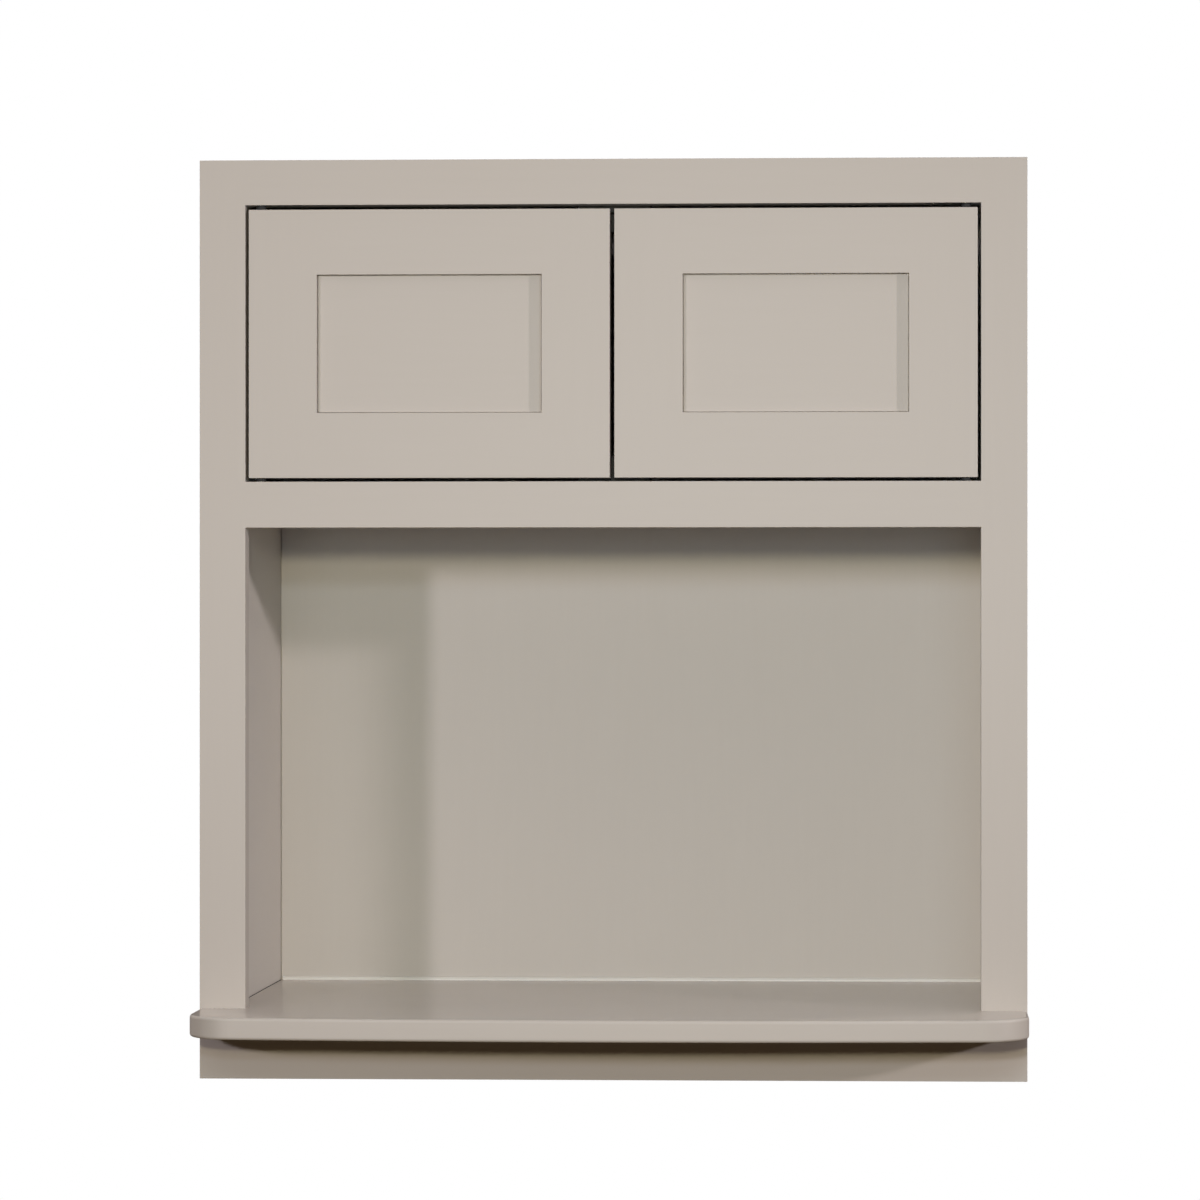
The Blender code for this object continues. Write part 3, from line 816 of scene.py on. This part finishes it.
def rod(name, radius, low, high):
    """A round bar that stands on the Z axis."""
    bpy.ops.object.select_all(action="DESELECT")
    bpy.ops.mesh.primitive_cylinder_add(
        vertices=ROUND_SIDES, radius=radius, depth=high - low, location=(0.0, 0.0, (low + high) / 2))
    bpy.ops.object.transform_apply(location=True, rotation=True, scale=True)
    made = bpy.context.object
    made.name = name
    return made


def pull_end(bar, up, reach, swell):
    """Extrudes the top (up = 1) or bottom (up = -1) face of a bar and scales it about the Z axis."""
    end = max(up * corner.co.z for corner in bar.data.vertices)
    pick_faces(bar, lambda middle, normal: up * normal.z > END_FACING and abs(up * middle.z - end) < NEAR)
    bpy.ops.mesh.extrude_region_move(TRANSFORM_OT_translate={"value": (0.0, 0.0, up * reach)})
    bpy.ops.transform.resize(value=(swell, swell, 1.0), center_override=(0.0, 0.0, 0.0))
    bpy.ops.object.mode_set(mode="OBJECT")


def copy_of(model, name, move):
    """A copy of a model with its own mesh, moved by a matrix."""
    made = bpy.data.objects.new(name, model.data.copy())
    made.data.name = name
    made.data.transform(move)
    bpy.context.scene.collection.objects.link(made)
    return made


def moved(piece, by):
    piece.data.transform(Matrix.Translation(by))
    return piece


def middle_of(node):
    low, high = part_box(node)
    return (low + high) / 2


def to_face(node):
    """The move that lays a model's top on the outer face of a leaf or screw, face up or face down."""
    low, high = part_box(node)
    middle = middle_of(node)
    looks_down = node.endswith("_catch_screw") or ("upper" in node) == ("frame" in node)
    face = Vector((middle.x, middle.y, (low.z if looks_down else high.z) + lift(node)))
    return Matrix.Translation(face) @ (TURN_OVER if looks_down else UPRIGHT)


print("round tools are ready")

# %% [markdown]
# ## Screws
# Countersunk screws hold the leaves, the catch and the strike plates. The model stands under the origin
# with its head up: a shank, a drawn-out tip, a cone for the head with a thin land, and a cross recess.
# It takes its sizes from the CAD screw.

# %% Screws
SHANK_RADIUS = 0.0014
HEAD_DEPTH = 0.0013
HEAD_LAND = 0.0002
TIP_LENGTH = 0.003
TIP_SHARPNESS = 0.06
RECESS_LENGTH = 0.0034
RECESS_WIDTH = 0.0008
RECESS_DEPTH = 0.0010
leaf_screws = [name for name in nodes if name.endswith("_leaf_screw")]
catch_screws = [name for name in nodes if name.endswith("_catch_screw")]


def make_screw(node):
    low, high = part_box(node)
    head_radius = (high.x - low.x) / 2
    screw = rod("screw_model", SHANK_RADIUS, TIP_LENGTH - (high.z - low.z), -HEAD_DEPTH)
    pull_end(screw, -1, TIP_LENGTH, TIP_SHARPNESS)
    pull_end(screw, 1, HEAD_DEPTH - HEAD_LAND, head_radius / SHANK_RADIUS)
    pull_end(screw, 1, HEAD_LAND, 1.0)
    for long, wide in ((RECESS_LENGTH, RECESS_WIDTH), (RECESS_WIDTH, RECESS_LENGTH)):
        carve(screw, (-long / 2, -wide / 2, -RECESS_DEPTH), (long / 2, wide / 2, HEAD_DEPTH))
    smooth(screw)
    return screw


leaf_screw = make_screw(leaf_screws[0])
catch_screw = make_screw(catch_screws[0])
for names, model in ((leaf_screws, leaf_screw), (catch_screws, catch_screw)):
    for name in names:
        settle(copy_of(model, f"{name}_cut", to_face(name)), steel, name)
print("drove", len(leaf_screws) + len(catch_screws), "screws")

# %% [markdown]
# ## Pivot leaves
# A leaf is a small steel plate let into the rail or into the end of the door. It has rounded corners, a
# hole for the pin and a countersunk hole for its screw. All eight are the same plate, so one is made
# lying under the origin and the copies are turned over or round.

# %% Pivot leaves
LEAF_CORNER = 0.0018
PLATE_EDGE = 0.0002
PLATE_CORNER_STEPS = 6
PLATE_EDGE_STEPS = 2
PIN_HOLE = 0.00215
HOLE_GAP = 0.0002
leaves = [name for name in nodes if name.endswith("_leaf")]


def sink_cutter(depth):
    """A cutter for a screw hole through the given depth, with its countersink at the origin."""
    hole = SHANK_RADIUS + HOLE_GAP
    screw_low, screw_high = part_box(leaf_screws[0])
    wide = (screw_high.x - screw_low.x) / 2 + HOLE_GAP
    cutter = rod("cutter", hole, -depth, -HEAD_DEPTH)
    pull_end(cutter, 1, HEAD_DEPTH, wide / hole)
    pull_end(cutter, 1, HEAD_DEPTH, 1.0)
    return cutter


def make_leaf():
    """The plate of the right upper door leaf, with its upper face at Z = 0 and centred on the Z axis."""
    low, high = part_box("right_upper_door_leaf")
    half = (high - low) / 2
    leaf_x = middle_of("right_upper_door_leaf").x
    pin_x = middle_of("right_upper_pivot_pin").x - leaf_x
    screw_x = middle_of("right_upper_door_leaf_screw").x - leaf_x
    leaf = block("leaf_model", (-half.x, -half.y, -2 * half.z), (half.x, half.y, 0.0))
    bevel(leaf, lambda point, edge: abs(point.z + half.z) < NEAR, LEAF_CORNER, PLATE_CORNER_STEPS)
    ease(leaf, lambda point: abs(point.z + half.z) < NEAR, PLATE_EDGE, PLATE_EDGE_STEPS)
    through = 2 * half.z + HOLE_GAP
    cut_by(leaf, moved(rod("cutter", PIN_HOLE, -through, HOLE_GAP), (pin_x, 0.0, 0.0)))
    cut_by(leaf, moved(sink_cutter(through), (screw_x, 0.0, 0.0)))
    smooth(leaf)
    return leaf


leaf = make_leaf()
for name in leaves:
    turn = TURN_ROUND if name.startswith("left") else UPRIGHT
    settle(copy_of(leaf, f"{name}_plate", to_face(name) @ turn), steel, name)
print("let in", len(leaves), "leaves")

# %% [markdown]
# ## Pivot washers
# A moulded washer runs on the pin between the two leaves of each pivot. It is a short round bar with
# eased rims and a hole. The upper ones are as much taller as their frame leaves lie higher, so that
# they hide the bright pin.

# %% Pivot washers
WASHER_EDGE = 0.0003
WASHER_STEPS = 2
washers = [name for name in nodes if name.endswith("_pivot_washer")]


def make_washer(node):
    low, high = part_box(node)
    middle = middle_of(node)
    tall = high.z - low.z + (TOP_REVEAL if "upper" in node else 0.0)
    washer = rod(f"{node}_moulded", (high.x - low.x) / 2, 0.0, tall)
    ease(washer, lambda point: False, WASHER_EDGE, WASHER_STEPS)
    cut_by(washer, rod("cutter", PIN_HOLE, -HOLE_GAP, tall + HOLE_GAP))
    smooth(moved(washer, (middle.x, middle.y, low.z)))
    settle(washer, nylon, node)


for name in washers:
    make_washer(name)
print("put in", len(washers), "washers")

# %% [markdown]
# ## The magnetic catch
# The catch hangs under its block behind the top rail. Its housing is a moulded shell with soft edges,
# open at the front for two magnets, with two countersunk holes underneath. Each door carries a strike
# plate, held by one screw and pulled in by its magnet.

# %% Catch and strike plates
HOUSING_EDGE = 0.0011
HOUSING_STEPS = 4
STRIKE_CORNER = 0.0025
MAGNET_GAP = 0.0002
FACE_REAR = Matrix.Rotation(-math.pi / 2, 4, "X")


def make_housing():
    low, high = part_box("catch_housing")
    housing = block("catch_housing_moulded", low, high)
    ease(housing, lambda middle: False, HOUSING_EDGE, HOUSING_STEPS)
    gap = Vector((MAGNET_GAP, 0.0, MAGNET_GAP))
    for side in ("left", "right"):
        magnet_low, magnet_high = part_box(f"{side}_catch_magnet")
        carve(housing, magnet_low - gap, magnet_high + gap)
        middle = middle_of(f"{side}_catch_screw")
        cutter = sink_cutter(high.z - low.z + HOLE_GAP)
        cutter.data.transform(Matrix.Translation((middle.x, middle.y, low.z)) @ TURN_OVER)
        cut_by(housing, cutter)
    smooth(housing)
    settle(housing, nylon, "catch_housing")


def make_strike(side):
    node = f"{side}_strike_plate"
    low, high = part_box(node)
    middle = middle_of(node)
    strike = block(f"{node}_pressed", low, high)
    bevel(strike, lambda point, edge: abs(point.y - middle.y) < NEAR, STRIKE_CORNER, PLATE_CORNER_STEPS)
    ease(strike, lambda point: abs(point.y - middle.y) < NEAR, PLATE_EDGE, PLATE_EDGE_STEPS)
    lie = Matrix.Translation((middle.x, high.y, middle.z)) @ FACE_REAR
    cutter = sink_cutter(2 * (high.y - low.y))
    cutter.data.transform(lie)
    cut_by(strike, cutter)
    smooth(strike)
    settle(strike, steel, node)
    screw = copy_of(leaf_screw, f"{side}_strike_screw", lie)
    screw.data.materials.append(steel)
    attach(screw, nodes[node]["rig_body"])


make_housing()
for side in ("left", "right"):
    make_strike(side)
for model in (leaf, leaf_screw, catch_screw):
    bpy.data.objects.remove(model, do_unlink=True)
print("hung the catch and fixed two strike plates")

# %% [markdown]
# ## Bumpers
# Two stick-on bumpers on the stop block take the knock of the doors. Each is a low disc of silicone,
# and its front rim is bevelled wide, so that it looks like a drop.

# %% Bumpers
DOME = 0.0013
DOME_STEPS = 6
FACE_FRONT = Matrix.Rotation(math.pi / 2, 4, "X")


def make_bumper(node):
    low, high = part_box(node)
    middle = middle_of(node)
    tall = high.y - low.y
    bumper = rod(f"{node}_drop", (high.x - low.x) / 2, 0.0, tall)
    bevel(bumper, lambda point, edge: point.z > tall - NEAR and is_corner(edge), DOME, DOME_STEPS)
    bumper.data.transform(Matrix.Translation((middle.x, high.y, middle.z)) @ FACE_FRONT)
    smooth(bumper)
    settle(bumper, rubber, node)


for side in ("left", "right"):
    make_bumper(f"{side}_bumper")
print("stuck on two bumpers")

# %% [markdown]
# ## The back panel
# The back slides in grooves in the sides. A hairline of shadow shows where it enters them, so a shallow
# groove is carved in the panel's face along each side.

# %% Back panel
CORNER_LINE = 0.0010
CORNER_DEPTH = 0.0020


def make_back():
    low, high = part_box("back_panel")
    back = block("back_panel_painted", low, high)
    past = Vector((0.0, CORNER_DEPTH, CORNER_DEPTH))
    for sign in (-1, 1):
        ends = sorted((sign * (SIDE_INSIDE - CORNER_LINE), sign * SIDE_INSIDE))
        groove_low = Vector((ends[0], low.y, low.z)) - past
        carve(back, groove_low, (ends[1], low.y + CORNER_DEPTH, high.z + CORNER_DEPTH))
    settle(back, back_sheet, "back_panel")


make_back()
print("made the back panel")

# %% [markdown]
# ## Boards that keep their CAD shape
# The sides, the deck, the top and the hidden hardware already have the right shape. They only need
# their material slots filled.

# %% Dress the CAD solids
DRESS = {
    "left_side_panel": left_sheet,
    "right_side_panel": right_sheet,
    "top_panel": top_sheet,
    "compartment_deck": inside_paint_with_fill,
    "upper_hanging_rail": rail_plywood,
    "lower_hanging_rail": rail_plywood,
    "left_shelf_cleat": cleat_plywood,
    "right_shelf_cleat": cleat_plywood,
}
BY_SLOT = {"zinc_steel": steel, "black_nylon": nylon, "magnet": magnet, "clear_silicone": rubber}
for name, node in nodes.items():
    dress = DRESS.get(name, BY_SLOT.get(node.data.materials[0].name))
    if dress:
        node.material_slots[0].material = dress
print("dressed the CAD solids")

# %% [markdown]
# ## Studio
# The background is pure white to the camera, while the light that it sheds on the cabinet is weaker. A
# pale floor lies where a kitchen floor would be under a hung cabinet, well below it, and it glows
# softly into the white towards its rim, so that no horizon shows.

# %% World and floor
# colours of the sky's light by height, from straight down (0) to straight up (1)
SKY_LIGHT = (
    (0.12, (0.170, 0.132, 0.086, 1.0)),
    (0.36, (0.010, 0.004, 0.002, 1.0)),
    (0.60, (0.010, 0.004, 0.002, 1.0)),
    (0.84, (0.466, 0.430, 0.430, 1.0)),
)
FLOOR_DROP = 1.37
FLOOR_RADIUS = 7.0
FLOOR_SIDES = 96
FLOOR_FADE = 0.35
FLOOR_GLOW = 0.45
FLOOR_CLOUD_SCALE = 1.5
FLOOR_DARK = (0.80, 0.80, 0.79, 1.0)
FLOOR_LIGHT = (0.84, 0.84, 0.83, 1.0)

world = bpy.data.worlds.new("white studio")
bpy.context.scene.world = world
world.use_nodes = True
sky = world.node_tree
seen = sky.nodes["Background"]
seen.inputs["Color"].default_value = (1.0, 1.0, 1.0, 1.0)
shed = sky.nodes.new("ShaderNodeBackground")
height = sky.nodes.new("ShaderNodeSeparateXYZ")
direction = sky.nodes.new("ShaderNodeTexCoord")
fade = sky.nodes.new("ShaderNodeMapRange")
fade.inputs["From Min"].default_value = -1.0
tint = sky.nodes.new("ShaderNodeValToRGB")
stops = tint.color_ramp.elements
while len(stops) < len(SKY_LIGHT):
    stops.new(1.0)
for stop, (place, colour) in zip(stops, SKY_LIGHT):
    stop.position = place
    stop.color = colour
sky.links.new(direction.outputs["Generated"], height.inputs[0])
sky.links.new(height.outputs["Z"], fade.inputs["Value"])
sky.links.new(fade.outputs["Result"], tint.inputs[0])
sky.links.new(tint.outputs["Color"], shed.inputs["Color"])
ray = sky.nodes.new("ShaderNodeLightPath")
either = sky.nodes.new("ShaderNodeMixShader")
sky.links.new(ray.outputs["Is Camera Ray"], either.inputs[0])
sky.links.new(shed.outputs[0], either.inputs[1])
sky.links.new(seen.outputs[0], either.inputs[2])
sky.links.new(either.outputs[0], sky.nodes["World Output"].inputs["Surface"])

floor_finish = Finish("pale floor")
floor_cloud = floor_finish.noise(floor_finish.place(), FLOOR_CLOUD_SCALE, 3.0)
floor_colour = floor_finish.blend(floor_cloud, FLOOR_DARK, FLOOR_LIGHT)
floor_finish.wear(Base_Color=floor_colour, Roughness=0.7)
reach_x = floor_finish.along(X) / FLOOR_RADIUS
reach_y = floor_finish.along(Y) / FLOOR_RADIUS
rim = floor_finish.ramp(reach_x * reach_x + reach_y * reach_y, 0.0, FLOOR_FADE)
glow = floor_finish.node("ShaderNodeEmission")
floor_look = floor_finish.node("ShaderNodeMixShader", {}, {
    0: FLOOR_GLOW + rim * (1.0 - FLOOR_GLOW),
    1: Value(floor_finish, floor_finish.surface.outputs[0]), 2: glow})
floor_finish.feed(floor_finish.tree.nodes["Material Output"].inputs["Surface"], floor_look)
bpy.ops.object.select_all(action="DESELECT")
bpy.ops.mesh.primitive_circle_add(
    vertices=FLOOR_SIDES, radius=FLOOR_RADIUS, fill_type="NGON", location=(0.0, 0.0, FOOT - FLOOR_DROP))
floor = bpy.context.object
floor.name = "floor"
floor.data.materials.append(floor_finish.material)
floor.visible_diffuse = False
floor.visible_glossy = False
print("made the studio")

# %% [markdown]
# ## Lights
# Four small lights stand in front: two near the camera, one from the left and one far round to the
# right, which draws the shadow bands inside the door panels. The first two stand a little to the left
# of the camera, because from its own place their light would shine through the gap between the doors
# onto the back that it sees there. The lowest is warm, so that the shadows under the shelf and the rail
# are brown. Two weak fills hang close in front of the niche, near its corners, so that the stiles shade
# the corners softly. Two lights stand behind for the rear, and one hangs over the top. Each is
# described by the share of the brightness that it gives, and its power follows from its distance.

# %% Lights
AIM_HEIGHT = -0.30
FRONT = Vector((0.0, FACE, AIM_HEIGHT))
REAR = Vector((0.0, 0.0, AIM_HEIGHT))


def lamp(name, place, share, breadth, target=FRONT):
    """A disc light that gives the front or the rear of the cabinet its share of red, green and blue."""
    light = bpy.data.lights.new(name, "AREA")
    light.shape = "DISK"
    light.size = breadth
    away = Vector(place) - target
    cosine = abs(away.y) / away.length
    light.energy = max(share) * math.pi**2 * away.length_squared / cosine
    light.color = [part / max(share) for part in share]
    lit = bpy.data.objects.new(name, light)
    lit.location = place
    lit.rotation_euler = away.to_track_quat("Z", "Y").to_euler()
    bpy.context.scene.collection.objects.link(lit)
    return lit


lamp("front lamp", (0.11, -3.5, -0.03), (0.230, 0.212, 0.152), 0.16)
lamp("upper front lamp", (0.11, -3.5, 0.24), (0.070, 0.084, 0.102), 0.16)
lamp("left lamp", (-1.66, -3.5, 0.10), (0.182, 0.173, 0.187), 0.20)
lamp("right lamp", (4.2, -2.4, 0.50), (0.142, 0.133, 0.138), 0.20)
left_fill = lamp("left fill", (-0.33, -1.2, -0.24), (0.074, 0.086, 0.087), 0.22)
right_fill = lamp("right fill", (0.33, -1.2, -0.24), (0.130, 0.162, 0.192), 0.22)
rear_left = lamp("rear left lamp", (-3.2, 2.6, 0.7), (0.34, 0.34, 0.34), 0.9, REAR)
rear_right = lamp("rear right lamp", (4.0, 1.4, 0.9), (0.12, 0.12, 0.12), 0.9, REAR)
overhead = lamp("overhead lamp", (0.0, 0.6, 2.5), (0.040, 0.040, 0.040), 0.6, REAR)
for lit in (left_fill, right_fill, rear_left, rear_right, overhead):
    lit.visible_camera = False
    lit.visible_glossy = False
print("lit the front and the rear")

# %% [markdown]
# ## Camera
# The photograph is taken square to the front, from right of the middle and a little below it. A long
# lens on a camera that is turned slightly to the left, with some shift, keeps the frame's edges
# upright.

# %% Camera
eye = bpy.data.cameras.new("camera")
eye.lens = 123.12
eye.sensor_width = 36.0
eye.shift_x = -0.12
eye.shift_y = 0.0281
eye.clip_end = 100.0
camera = bpy.data.objects.new("camera", eye)
camera.location = (0.237, -3.692, -0.337)
camera.rotation_euler = (math.pi / 2, 0.0, 0.0377)
bpy.context.scene.collection.objects.link(camera)
bpy.context.scene.camera = camera
bpy.context.scene.view_settings.view_transform = "Standard"
print("placed the camera")

# %% [markdown]
# ## The end
# The cabinet is dressed, lit and framed.

# %% Finish
print("the scene is ready")
